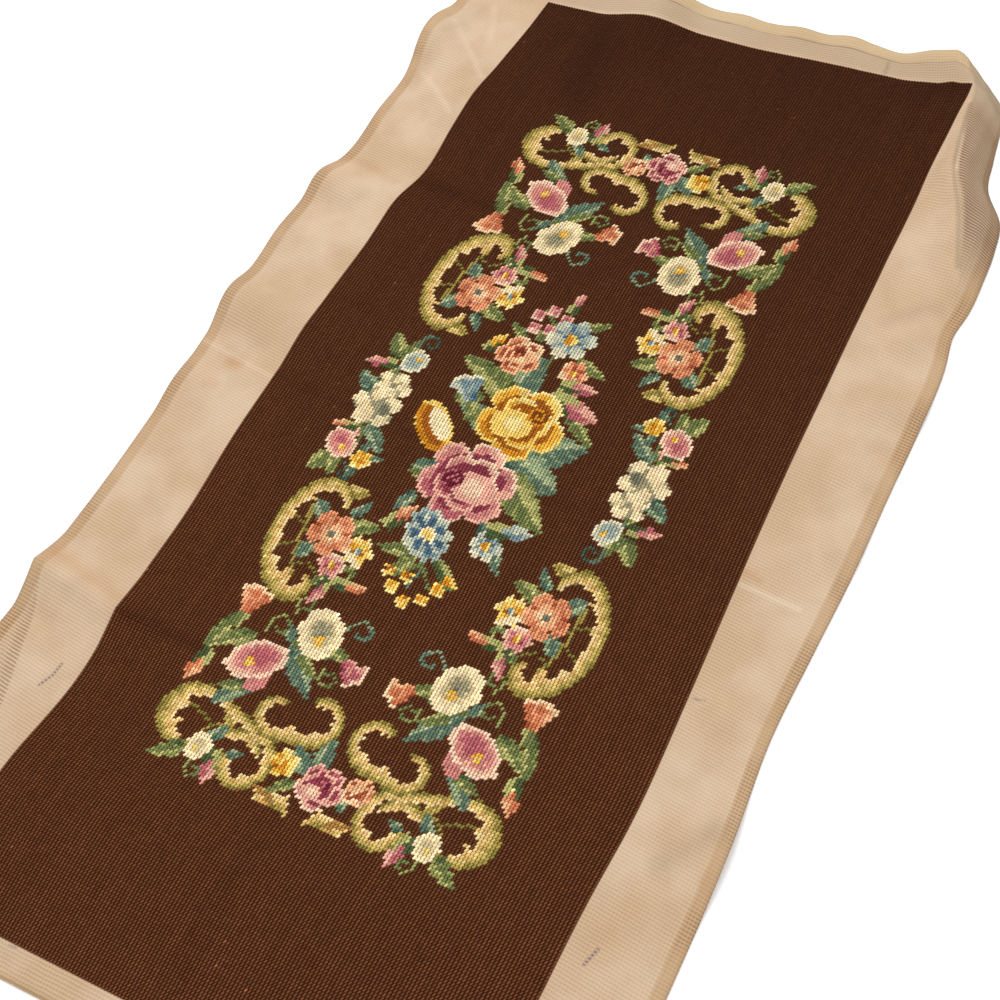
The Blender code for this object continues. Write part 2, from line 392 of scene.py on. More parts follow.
PURPLE_STREAKS = (
    Streak(-6.3, 69, -6.6, 65, 0.7, 0.9),
    Streak(-6.6, 65, -8.0, 61.5, 0.7, 0.9),
    Streak(165.6, 58.5, 164.2, 54, 0.8, 0.9),
    Streak(159.5, 128, 163, 128.6, 0.6, 0.6),
    Streak(29, -0.9, 31, -0.7, 0.6, 0.6),
)


def streaks(column, row, table):
    """How strongly any of the streaks of a table shows at a place: each falls straight from its own
    strength on its middle line to nothing at its half width. The line's ends are round."""
    found = None
    for streak in table:
        way_u, way_v = streak.end_column - streak.column, streak.end_row - streak.row
        from_u, from_v = column - streak.column, row - streak.row
        share = ((from_u * way_u + from_v * way_v) / (way_u**2 + way_v**2)).clipped()
        off_u, off_v = from_u - share * way_u, from_v - share * way_v
        aside = (off_u * off_u + off_v * off_v) ** 0.5
        shown = aside.ramp(streak.half, 0.0) * streak.strength
        found = shown if found is None else found.most(shown)
    return found


def inside(column, row, box, soft):
    """1 inside a box of columns and rows, falling to 0 over a soft edge."""
    low_u, high_u, low_v, high_v = box
    across = column.ramp(low_u, low_u + soft).least(column.ramp(high_u, high_u - soft))
    return across.least(row.ramp(low_v, low_v + soft)).least(row.ramp(high_v, high_v - soft))


# The selvedges are so many columns wide, and outside the wool the weft leans by so many rows a column.
SELVEDGE = 3.5
WEFT_SKEW = 0.11
# The canvas is painted in half shade, with darker open holes, behind the far right corner's crest, a line
# through a place that leans by so many columns a row; and in a box on the left side, below a line like it
# from row 0.
FOLD_START = (161, 346)
FOLD_LEAN = 0.297
LEFT_SLOPE = (-29, 0, 44, 98)
SLOPE_START = 4.4
SLOPE_LEAN = 0.339


def cotton():
    """Ecru cotton: ridges of weft across the width with the warp over them, and painted shade in the holes
    between. The ridge at a place is the squared sine of its row, which leans outside the wool. Selvedges, the
    hem and the near edge are tan, painted half shade lies behind the far right corner's crest and on the left
    side, the canvas under the wool is painted dark as shade, and streaks of the tables above are laid over."""
    made, wire, shader = new_material("cotton_canvas", 0.95)
    place = wire.node("ShaderNodeUVMap", {"uv_map": "cloth"})
    column = place.node("ShaderNodeSeparateXYZ", {}, {"Vector": place}, 0)
    row = place.node("ShaderNodeSeparateXYZ", {}, {"Vector": place}, 1)
    beyond = column.least(0.0) + (column - WOOL_COLUMNS).most(0.0)
    wander = place.noise(0.25, 3.0) - 0.5
    weft = ((row + beyond * WEFT_SKEW + wander * 0.5) * np.pi).sine()
    weft = weft * weft
    warp = ((column + wander * 0.4) * np.pi).sine()
    warp = warp * warp
    slub = place.noise(1.6, 2.0)
    behind = (column + (row - FOLD_START[1]) * FOLD_LEAN - FOLD_START[0]).ramp(-0.3, 1.5)
    corner = behind.least(row.ramp(280, 300))
    folded = (column + row * SLOPE_LEAN).ramp(SLOPE_START, SLOPE_START - 0.8)
    folded = folded * (0.4 + 0.6 * (column + row * SLOPE_LEAN).ramp(SLOPE_START - 5, SLOPE_START - 3))
    # Painted shade where the cloth stands raised, behind the corner's crest and on the left side: it greys
    # the tone and deepens the holes
    slope = (corner * row.ramp(352, 344)).most(folded.least(inside(column, row, LEFT_SLOPE, 6.0)) * 0.8)
    hole = (1 - weft) * (1 - warp * (0.55 - slope * 0.5))

    left = column.ramp(LEFT_EDGE + SELVEDGE + 0.8, LEFT_EDGE + SELVEDGE)
    right = column.ramp(RIGHT_EDGE - SELVEDGE - 0.8, RIGHT_EDGE - SELVEDGE)
    selvedge = left.most(right)
    hem = row.ramp(HEM_ROW - 0.3, HEM_ROW + 0.3)
    near = row.ramp(-6.0, -8.0)
    dashed = place.noise(0.05, 2.0).ramp(0.42, 0.6)

    cloud = place.noise(0.035, 3.0)
    blotch = place.noise(0.11, 4.0)
    tone = wire.mixed(cloud.ramp(0.38, 0.62), screen(200, 176, 149), screen(191, 162, 131))
    tone = wire.mixed(blotch.ramp(0.45, 0.75) * 0.4, tone, screen(177, 152, 124))
    tone = wire.mixed(slub.ramp(0.35, 0.8) * 0.25, tone, screen(212, 189, 160))
    tone = wire.mixed(row.ramp(WOOL_ROWS, WOOL_ROWS + 2) * 0.8, tone, screen(176, 154, 128))
    tone = wire.mixed((selvedge * 0.5).most(near * 0.4), tone, screen(176, 139, 99))
    tone = wire.mixed(hem * column.ramp(168, 165) * 0.6, tone, screen(198, 172, 132))
    # Painted half shade behind the far right corner's crest
    tone = wire.mixed(corner * 0.5, tone, screen(142, 126, 106))
    # Painted highlights on the crests of folds, and creases faded pale by wear
    tone = wire.mixed(streaks(column, row, HIGHLIGHT_AND_WEAR_STREAKS), tone, screen(218, 200, 174))
    tone = wire.mixed(streaks(column, row, RUSTY_STREAKS), tone, screen(178, 124, 78))
    # Painted shade along folds and creases
    tone = wire.mixed(streaks(column, row, PAINTED_SHADE_STREAKS), tone, screen(116, 97, 78))
    # Painted shade in the holes between the threads: deeper where the cloth stands raised and in dashes along
    # the selvedges, less on the hem, and varied in clouds
    painted_hole_shade = 0.18 + cloud.ramp(0.3, 0.7) * 0.22 + slope * 0.55 + selvedge * dashed * 0.4 - hem * 0.1
    tone = wire.mixed((hole * painted_hole_shade).clipped(), tone, screen(112, 78, 50))
    seam = (row - HEM_ROW + 0.2).size().ramp(0.5, 0.1)
    tone = wire.mixed(seam * dashed * 0.5, tone, screen(120, 96, 70))
    tone = wire.mixed(streaks(column, row, PURPLE_STREAKS) * weft, tone, screen(66, 56, 82))
    # Under the wool the canvas is painted a very dark brown: painted shade that shows in the gaps between the
    # pads
    worked = inside(column, row, (-0.1, WOOL_COLUMNS + 0.1, -0.1, WOOL_ROWS + 0.1), 0.3)
    tone = wire.mixed(worked, tone, screen(62, 27, 9))
    height = weft * 0.7 + warp * 0.3
    bump = wire.node("ShaderNodeBump", {}, {"Strength": 0.7, "Distance": 0.0004, "Height": height})
    made.node_tree.links.new(tone.socket, shader.inputs["Base Color"])
    made.node_tree.links.new(bump.socket, shader.inputs["Normal"])
    return made


def set_uv(piece, name, places):
    """Gives every corner of a piece's faces its place in a UV map."""
    layer = piece.data.uv_layers.new(name=name, do_init=False)
    layer.uv.foreach_set("vector", np.ascontiguousarray(places, dtype=np.float32).ravel())


canvas = new_piece("canvas", underside - middle, grid_faces(*column.shape), cotton())
on_cloth = np.stack([column.ravel(), row.ravel()], axis=1)
set_uv(canvas, "cloth", on_cloth[grid_faces(*column.shape).ravel()])
group = canvas.vertex_groups.new(name="thickness")
hem = row.ravel() > HEM_ROW
group.add(np.flatnonzero(hem).tolist(), 1.0, "REPLACE")
group.add(np.flatnonzero(~hem).tolist(), CANVAS_THICK / HEM_THICK, "REPLACE")
solid = canvas.modifiers.new("thickness", "SOLIDIFY")
solid.thickness = HEM_THICK
solid.offset = 1.0
solid.vertex_group = "thickness"
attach(canvas, "root")
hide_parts("canvas_panel")

# The pattern: scrolls, morning glories and small roses, mirrored from side to side and from end to end,
# round a spray with two large roses. It is counted onto the canvas, one yarn for each stitch. Places in it
# are in columns from its middle, also along the cloth, where a row is a little longer than a column.
YARNS = dict(
    brown=[(124, 77, 48)] * 6,
    gold=[(252, 234, 168), (246, 216, 122), (236, 184, 70), (214, 148, 44), (172, 102, 34), (126, 70, 28)],
    mauve=[(248, 218, 196), (236, 184, 170), (216, 146, 144), (190, 108, 120), (150, 66, 86), (108, 36, 56)],
    coral=[(250, 220, 184), (242, 190, 150), (228, 158, 120), (206, 124, 90), (168, 86, 60), (122, 56, 40)],
    cream=[(250, 236, 200), (238, 222, 184), (212, 198, 160), (164, 160, 134), (122, 124, 108), (88, 92, 82)],
    blue=[(234, 230, 206), (206, 212, 198), (168, 184, 182), (124, 150, 162), (78, 110, 138), (48, 76, 104)],
    teal=[(196, 204, 168), (166, 182, 148), (132, 154, 128), (100, 126, 110), (68, 96, 86), (46, 68, 60)],
    leaf=[(212, 208, 148), (184, 184, 122), (150, 158, 98), (116, 128, 80), (82, 98, 62), (56, 70, 46)],
    olive=[(242, 226, 166), (228, 206, 138), (200, 180, 106), (166, 150, 80), (130, 122, 62), (94, 88, 46)],
    ochre=[(242, 220, 168), (228, 196, 132), (204, 166, 100), (172, 132, 74), (136, 102, 54), (104, 78, 42)],
)
SHADES = 6
ROW_LENGTH = ROW / COLUMN
PATTERN_MIDDLE = (78.5, 180.5)

FIRST_SHADE = {name: place * SHADES for place, name in enumerate(YARNS)}
yarn_colours = np.array([shade for shades in YARNS.values() for shade in shades])
chart = np.zeros((WOOL_COLUMNS, WOOL_ROWS), int)
stitch_column, stitch_row = np.meshgrid(np.arange(WOOL_COLUMNS), np.arange(WOOL_ROWS), indexing="ij")


def facing(side, end):
    """Every stitch's place from the pattern's middle, mirrored by the signs of a side and an end."""
    across = stitch_column + 0.5 - PATTERN_MIDDLE[0]
    along = stitch_row + 0.5 - PATTERN_MIDDLE[1]
    return side * across, end * along * ROW_LENGTH


def turned(at, x, y, turn):
    """Every stitch's place along and beside a line that starts at a point and is turned by degrees."""
    cos, sin = np.cos(np.radians(turn)), np.sin(np.radians(turn))
    dx, dy = at[0] - x, at[1] - y
    return dx * cos + dy * sin, dy * cos - dx * sin


def work(inside, yarn, shade):
    """Works the stitches inside a mask in one yarn, in the nearest of its shades, 0 the lightest."""
    shade = np.clip(np.rint(np.broadcast_to(shade, chart.shape)), 0, SHADES - 1).astype(int)
    chart[inside] = FIRST_SHADE[yarn] + shade[inside]


def from_path(at, path):
    """Every stitch's distance from a path of points, the share of the path's length at its nearest point,
    and the side that it lies on: positive to the left of the way along."""
    best = np.full(chart.shape, np.inf)
    share, side = np.zeros(chart.shape), np.zeros(chart.shape)
    steps = np.hypot(*np.diff(path, axis=0).T)
    for start, end, step, done in zip(path[:-1], path[1:], steps, np.cumsum(steps) - steps):
        way = (end - start) / step
        dx, dy = at[0] - start[0], at[1] - start[1]
        along = np.clip(dx * way[0] + dy * way[1], 0, step)
        distance = np.hypot(dx - along * way[0], dy - along * way[1])
        nearer = distance < best
        best[nearer] = distance[nearer]
        share[nearer] = ((done + along) / steps.sum())[nearer]
        side[nearer] = np.sign(way[0] * dy - way[1] * dx)[nearer]
    return best, share, side


def arc(x, y, radius, start, end, growth=1.0, height=1.0):
    """Points on an arc between two angles in degrees. Its radius grows by a factor on the way, and it may
    be stretched along the cloth."""
    share = np.linspace(0, 1, 30)
    angle = np.radians(start + (end - start) * share)
    reach = radius * growth**share
    return np.stack([x + reach * np.cos(angle), y + height * reach * np.sin(angle)], axis=1)


def oval(at, x, y, half_length, half_width, turn, yarn, shade):
    """A plain oval of one shade."""
    along, beside = turned(at, x, y, turn)
    work(np.hypot(along / half_length, beside / half_width) < 1, yarn, shade)


def stem(at, points, yarn="leaf", shade=3, half=0.55):
    """A line one stitch wide through a few points."""
    distance, _, _ = from_path(at, np.array(points, float))
    work(distance < half, yarn, shade)


def tendril(at, x, y, size, turn, curl=1, yarn="leaf", shade=2):
    """A curl one stitch wide: a straight tail of its own size, then a hook that winds in to half of it."""
    angle = np.linspace(0, 1.75 * np.pi, 40)
    reach = size * (1 - 0.5 * angle / angle[-1])
    px = np.append(0.0, size + reach * np.sin(angle))
    py = np.append(0.0, curl * (size - reach * np.cos(angle)))
    cos, sin = np.cos(np.radians(turn)), np.sin(np.radians(turn))
    path = np.stack([x + px * cos - py * sin, y + px * sin + py * cos], axis=1)
    distance, share, _ = from_path(at, path)
    work(distance < 0.5, yarn, shade + share)


def leaf(at, x, y, length, width, turn, yarn="teal", bend=0.0):
    """A pointed oval with a toothed edge. One half is lighter, a dark rib runs along it, and pale veins
    slant out of the rib. It bends as a parabola."""
    along, beside = turned(at, x, y, turn)
    t = np.clip(along / length, 0, 1)
    beside = beside - bend * length * t * (t - 1)
    teeth = 1 - 0.16 * np.mod(5 * t + 0.3, 1)
    half = width / 2 * np.sin(np.pi * t**0.7) ** 0.75 * teeth
    out = np.abs(beside) / np.maximum(half, 0.1)
    vein = np.mod(4.5 * t - 0.9 * out, 1) < 0.28
    shade = np.where(beside > 0, 0.9, 2.4) + 0.9 * out - 0.8 * vein + 0.8 * (t < 0.25)
    shade = np.where(np.abs(beside) < 0.5, 3.4, shade)
    work((along > 0) & (t < 1) & (out < 1), yarn, shade)


def scroll(at, path, halves, crest=1, lobes=0):
    """A curved band that swells and tapers along its path by its half widths. It is cream and ochre along
    its inner edge, then gold, and olive along its outer one. Leafy lobes grow slowly out of the inner edge
    where it is wide, and stop short."""
    distance, share, side = from_path(at, path)
    half = np.interp(share, np.linspace(0, 1, len(halves)), halves)
    lobe = np.mod(share * lobes + 0.15, 1) ** 2
    outer = side * crest > 0
    reach = half * np.where(outer, 1.0, 1 + 0.5 * lobe * half * (lobes > 0))
    out = np.where(outer, distance, -distance) / half
    rib = 0.7 * (np.mod(share * 14, 1) < 0.3)
    inside = distance < reach
    work(inside, "olive", np.interp(out, [-1, -0.4, 0, 0.5, 1], [0.0, 0.6, 1.4, 2.6, 3.6]) + rib)
    tan = inside & (out < -0.3)
    work(tan, "ochre", np.interp(out, [-2, -1, -0.6, -0.3], [0.0, 0.0, 0.7, 1.4]) + rib)


def glory(at, x, y, length, width, turn, yarn, deep, rim=0.2, cup=3.0):
    """A morning glory looked into: an oval with a pale frilled rim about a cup that gets deeper in colour
    towards its middle and towards one direction, in degrees, with fine pale rays. The gold eye sits off the
    middle, away from the deep side."""
    along, beside = turned(at, x, y, turn)
    along, beside = along / length, beside / width
    out, angle = np.hypot(along, beside), np.arctan2(beside, along)
    lean = np.radians(deep - turn)
    dark = along * np.cos(lean) + beside * np.sin(lean)
    ray = (np.cos(5 * angle) > 0.8) & (out > 0.3)
    inner = np.clip((1 - rim - out) / (1 - rim), 0, 1)
    shade = 0.9 + cup * inner**0.55 * (0.8 + 0.6 * dark) - 0.5 * ray
    shade = np.where(inner > 0, shade, 0.2)
    work(out < 1 + 0.04 * np.cos(7 * angle), yarn, shade)
    eye_along, eye_beside = (along + 0.26 * np.cos(lean)) * length, (beside + 0.26 * np.sin(lean)) * width
    eye = np.hypot(eye_along, eye_beside)
    work(eye < 0.11 * length + 0.5, "gold", 1 + 1.4 * (eye > 0.07 * length + 0.3))


def bell(at, x, y, length, turn, yarn):
    """A trumpet seen from the side. It widens from its green cup, ever faster, to a rounded mouth with a
    pale wavy lip, and has a few folds."""
    along, beside = turned(at, x, y, turn)
    t, wide = along / length, beside / length
    half = 0.13 + 0.52 * np.clip(t, 0, 1) ** 1.7
    end = 1.04 - 0.9 * wide**2 + 0.03 * np.cos(18 * wide)
    fold = np.abs(np.sin(9 * wide / half * 0.4 + 0.5)) > 0.85
    shade = 2.0 + 0.8 * fold + 0.8 * (t < 0.4) - 0.9 * wide / half
    shade = np.where(end - t < 0.13, 0.4, shade)
    work((t > 0) & (t < end) & (np.abs(wide) < half), yarn, shade)
    work(np.hypot(t - 0.74, 1.1 * wide) < 0.11, yarn, 3.4)
    work((t > -0.3) & (t < 0.14) & (np.abs(wide) < 0.13 + 0.4 / length), "leaf", 2.0 + np.sign(beside))


def peony(at, x, y, radius, turn):
    """A white double flower: five round petals over one another, each greyer towards the middle of the
    flower and with a grey line down one side."""
    for way in range(turn, turn + 360, 72):
        out_x, out_y = np.cos(np.radians(way)), np.sin(np.radians(way))
        along, beside = turned(at, x + 0.54 * radius * out_x, y + 0.54 * radius * out_y, way)
        out = np.hypot(along / 0.5, beside / 0.44) / radius
        line = (beside < 0) & (out > 0.78) & (along < 0.36 * radius)
        shade = 0.2 + 1.3 * np.clip(0.1 - along / radius, 0, 1) / 0.5 + 0.5 * (beside < -0.15 * radius)
        work(out < 1, "cream", np.where(line, 2.9, shade))


def mallow(at, x, y, radius, yarn, petals, turn):
    """A flat open flower of broad lobed petals, pale about its grey eye, with darker lines between the
    petals and a few flecks on them."""
    along, beside = turned(at, x, y, turn)
    out, angle = np.hypot(along, beside) / radius, np.arctan2(beside, along)
    petal = np.abs(np.cos(petals * angle / 2))
    edge = 0.7 + 0.3 * np.sqrt(petal)
    shade = np.interp(out, [0.15, 0.35, 0.6, 1.0], [0.2, 0.8, 2.2, 1.6]) + 1.4 * (petal < 0.26) * (out > 0.3)
    shade = shade + 0.7 * (np.sin(5 * along) * np.sin(4 * beside) > 0.6) + 0.5 * np.sin(angle + 2.0)
    work(out < edge, yarn, shade)
    work(out < 0.13, "cream", 3.5)


def blossom(at, x, y, radius, yarn, petals=5, turn=0.0, heart="gold"):
    """A small open flower of round petals, each darker towards the middle, about a heart."""
    along, beside = turned(at, x, y, turn)
    out, angle = np.hypot(along, beside) / radius, np.arctan2(beside, along)
    petal = np.abs(np.cos(petals * angle / 2))
    shade = 3.0 - 2.9 * out + 1.6 * (petal < 0.35) + 0.8 * np.sin(angle + 0.6)
    work(out < 0.68 + 0.32 * petal**0.7, yarn, shade)
    work(out < 0.27, heart, 1 + 1.6 * (along < 0))


def bud(at, x, y, length, turn, yarn):
    """A closed bud: a pointed oval, lighter along one side, in a green cup of two sepals."""
    along, beside = turned(at, x, y, turn)
    t = np.clip(along / length, 0, 1)
    half = 0.27 * length * np.sin(np.pi * (0.15 + 0.85 * t)) ** 0.7
    work((along > 0) & (t < 1) & (np.abs(beside) < half), yarn, 2.2 - 1.5 * t + 1.4 * (beside < -0.2))
    sepals = 0.34 * length * (1 - np.abs(t - 0.1) / 0.5)
    cup = (along > -0.35 * length) & (t < 0.45) & (np.abs(beside) < sepals)
    work(cup & ((t < 0.12) | (np.abs(beside) > 0.5 * half)), "leaf", 2.6 - 1.2 * np.sign(beside))


def rose(at, x, y, radius, yarn, petals=6, turn=0.0, bowl=(0.14, -0.12), heart=(-0.3, 0.12)):
    """A full rose. Its outer petals have pale rims, dark bases and dark gaps between them. A second ring,
    turned half a petal, lies inside them, then a pale bowl, and a dark heart wound as a spiral."""
    along, beside = turned(at, x, y, turn)
    out, angle = np.hypot(along, beside) / radius, np.arctan2(beside, along)
    light = 0.7 * np.sin(angle + np.radians(turn) + 0.5)
    for ring, (reach, count) in enumerate(((1.0, petals), (0.68, petals - 1))):
        across = 2 * np.mod(angle * count / (2 * np.pi) + 0.5 * ring, 1) - 1
        edge = reach * (1 - 0.24 * np.abs(across) ** 3)
        shade = 2.1 - 0.2 * ring - light + 0.5 * across
        shade = np.where(np.abs(across) > 1 - 0.055 / np.maximum(out, 0.1), 4.0, shade)
        shade = np.where(out < reach * (0.74 - 0.12 * across**2), 3.9 + 0.5 * ring, shade)
        shade = np.where(out > edge - 0.5 / radius - 0.07, 0.7 - 0.5 * light, shade)
        work(out < edge, yarn, shade)
    dx, dy = at[0] - x, at[1] - y
    pale = np.hypot((dx - bowl[0] * radius) / 0.44, (dy - bowl[1] * radius) / 0.38) / radius
    work(pale < 1, yarn, 0.2 + 1.1 * pale**2)
    dx, dy = dx - heart[0] * radius, dy - heart[1] * radius
    from_heart = np.hypot(dx, dy) / radius / 0.25
    wound = np.mod(1.7 * from_heart - np.arctan2(dy, dx) / (2 * np.pi), 1)
    work(from_heart < 1, yarn, np.where(wound < 0.6, 5.0 - 0.6 * from_heart, 3.0))


def anemone(at, x, y, length, width, turn, yarn):
    """An oval flower with a pale notched rim, a ring of dark strokes between pale rays, and a star of gold
    and cream for its heart."""
    along, beside = turned(at, x, y, turn)
    out, angle = np.hypot(along / length, beside / width), np.arctan2(beside / width, along / length)
    ray = np.abs(np.cos(3.5 * angle))
    shade = np.interp(out, [0.3, 0.5, 0.68, 0.8, 1.0], [4.0, 4.4, 3.4, 1.6, 1.0])
    shade = shade - 2.4 * (ray > 0.8) * (out < 0.75) + 0.8 * np.sin(angle * 2 + 1) * (out > 0.7)
    work(out < 0.93 + 0.07 * np.cos(11 * angle), yarn, shade)
    work(out < 0.2 + 0.16 * ray, "cream", 0.4)
    work(out < 0.17, "gold", 1.2)


def end_group(side, end):
    """A corner scroll and the smaller one inside it, two morning glories, their leaves, and a corner
    spray."""
    at = facing(side, end)
    inner_bell = "coral" if side * end < 0 else "mauve"
    stem(at, [(40, 124), (36, 116), (30, 112)], "olive", 3, 0.45)
    stem(at, [(44, 112), (38, 114), (33, 117)], "olive", 4, 0.45)
    leaf(at, 33.5, 107.5, 9, 4.5, 118, "olive")
    scroll(at, arc(25.5, 121.5, 7.2, -25, -150, 1.0), (0.5, 1.4, 1.6, 0.9), crest=1, lobes=2)
    corner = np.concatenate([arc(41.5, 115.6, 7.2, 95, -112, 1.3), arc(22.5, 122.0, 10.2, -85, -375, 0.4)])
    scroll(at, corner, (0.9, 2.6, 2.8, 2.0, 1.4, 1.3, 1.5, 1.5, 1.4, 1.7, 1.7, 1.3), crest=1, lobes=8)
    inner = np.concatenate([arc(20.4, 105.4, 4.3, -95, 88, 1.3), arc(9.2, 101.4, 8.0, 95, 295, 0.55)])
    scroll(at, inner, (1.2, 1.3, 1.4, 1.8, 2.1, 1.8, 1.4, 1.3, 1.4), crest=-1, lobes=6)
    scroll(at, arc(8.5, 133.5, 6.6, 205, 318, 0.9), (0.4, 1.4, 2.0, 1.4, 0.4), crest=1, lobes=2)
    leaf(at, 8.0, 128.5, 8, 4, -20, "ochre")
    leaf(at, 38.0, 123.5, 11, 5.5, 34, "leaf")
    leaf(at, 34.5, 119.5, 7, 4.5, -125, "teal")
    leaf(at, 27.0, 121.0, 5, 3.5, -160, "teal")
    tendril(at, 35.0, 127.0, 2.2, 100, 1)
    bud(at, 30.0, 123.6, 8, 107, "mauve")
    glory(at, 35.4, 122.3, 4.3, 3.7, 90, "cream", 240, 0.4, 2.0)
    leaf(at, 31.5, 100.0, 13, 6.5, 50, "teal", 0.1)
    leaf(at, 32.5, 101.5, 9, 4, 20, "leaf", 0.1)
    leaf(at, 37.5, 86.0, 15.5, 5.6, 36, "leaf", 0.1)
    leaf(at, 46.2, 82.5, 13, 4.8, 73, "leaf", -0.1)
    leaf(at, 26.0, 87.5, 15.5, 6.6, 136, "teal", -0.1)
    leaf(at, 24.5, 85.0, 11, 4.6, 142, "leaf", 0.1)
    leaf(at, 27.5, 86.0, 8, 5, 195, "teal")
    stem(at, [(28, 84), (20, 86), (12, 83)], "leaf", 3)
    bud(at, 48.0, 98.2, 8.4, 77, "coral")
    tendril(at, 15.5, 87.6, 2.8, 95, 1, "leaf", 2)
    tendril(at, 15.5, 75.0, 3.4, -120, -1, "teal", 2)
    tendril(at, 36.5, 84.0, 3.4, -95, -1, "leaf", 2)
    tendril(at, 30.5, 76.0, 2.8, -60, -1, "leaf", 2)
    oval(at, 30.4, 98.8, 4.2, 2.6, 60, "mauve", 2.3)
    glory(at, 33.8, 93.0, 9.1, 6.0, 31, "mauve", 235, 0.2, 3.1)
    leaf(at, 27.5, 84.5, 6, 3.5, -60, "teal")
    glory(at, 21.2, 78.7, 8.2, 6.6, 112, "cream", 285, 0.38, 3.4)
    bell(at, 44.8, 83.2, 11, -93, "coral")
    bell(at, 12.4, 82.9, 9.4, 150, inner_bell)


def bracket(side, end):
    """A tall C scroll with a leafy top, and in it a coral mallow with small flowers and buds."""
    at = facing(side, end)
    stem(at, [(43.7, 42), (43.2, 50), (42, 58), (38.6, 66)], "olive", 3, 0.6)
    stem(at, [(49, 46), (43, 49), (40, 53)], "olive", 4, 0.4)
    stem(at, [(48, 58), (43, 55), (40, 57)], "olive", 4, 0.4)
    stem(at, [(41, 62), (36, 60), (33, 62)], "olive", 4, 0.4)
    leaf(at, 39.5, 34.5, 11, 5.0, 194, "olive", 0.1)
    hook = arc(37.2, 66.6, 3.6, 225, 25, 1.45)
    arch = np.concatenate([hook, arc(37.4, 51.2, 13.6, 68, -80, 1.0, 1.42), arc(39.6, 38.4, 5.4, -95, -185)])
    scroll(at, arch, (0.9, 2.4, 2.6, 2.0, 1.9, 1.9, 1.9, 2.1, 2.1, 0.8), crest=1, lobes=8)
    leaf(at, 38.5, 44.8, 8, 5.2, -48, "teal")
    leaf(at, 38.0, 52.0, 8.5, 5, 72, "teal")
    leaf(at, 31.5, 41.0, 7.5, 4, -120, "teal")
    leaf(at, 31.0, 44.5, 10.5, 5.6, 198, "leaf", 0.08)
    leaf(at, 27.0, 56.4, 7, 3, 162, "leaf")
    leaf(at, 29.5, 61.0, 6, 3.2, 60, "leaf")
    bud(at, 28.2, 64.3, 7.5, 78, "mauve")
    bud(at, 23.4, 62.3, 7.5, 187, "coral")
    blossom(at, 29.6, 57.8, 4.6, "mauve", 6)
    blossom(at, 24.4, 50.6, 4.9, "gold", 6, 0, "blue")
    oval(at, 25.6, 53.4, 4.4, 1.4, 143, "cream", 0.4)
    mallow(at, 34.6, 48.6, 7.6, "coral", 5, 20)


def garland(side, end):
    """A hanging sprig between two brackets: a blue glory, a pair of white roses and a mauve glory."""
    at = facing(side, end)
    stem(at, [(42, 10), (42.5, -4), (42, -14), (44, -24)], "leaf", 3)
    leaf(at, 44.5, 16.0, 11, 6.5, 57, "leaf", 0.1)
    leaf(at, 43.5, 15.5, 9, 4.5, 100, "leaf")
    leaf(at, 47.0, 0.5, 9.5, 6, 50, "teal")
    leaf(at, 46.0, 3.5, 8, 5, 20, "teal")
    leaf(at, 42.0, -9.5, 12.5, 6, -132, "teal", 0.1)
    leaf(at, 44.0, -10.0, 8, 4.5, -75, "leaf")
    leaf(at, 47.5, -23.0, 9, 7, -62, "leaf", 0.1)
    leaf(at, 46.0, -23.0, 8, 5, -100, "leaf")
    leaf(at, 38.5, -25.5, 6, 3, -70, "teal")
    leaf(at, 37.0, -21.0, 6, 3, 170, "teal")
    leaf(at, 39.5, -19.5, 5, 3, 110, "teal")
    tendril(at, 40.5, 21.5, 3.0, 80, 1, "teal", 3)
    tendril(at, 42.0, -25.5, 2.4, 200, 1, "teal", 3)
    bell(at, 43.6, 11.4, 6.5, 128, "blue")
    glory(at, 39.6, 16.6, 4.8, 3.9, 130, "blue", 300, 0.24, 1.9)
    bud(at, 46.8, 13.2, 7.5, -12, "mauve")
    peony(at, 41.8, 5.6, 6.0, 40)
    peony(at, 43.2, -3.2, 7.8, 10)
    oval(at, 40.6, -3.2, 3.2, 2.4, 60, "cream", 2.6)
    oval(at, 40.2, -3.4, 2.2, 1.5, 60, "cream", 3.6)
    oval(at, 44.6, -14.8, 2.6, 1.6, 100, "mauve", 0.8)
    glory(at, 46.6, -19.0, 5.8, 4.6, 60, "mauve", 60, 0.2, 2.4)
    bud(at, 47.0, -12.4, 6.0, -10, "coral")
    blossom(at, 38.2, -22.4, 3.6, "gold", 6)


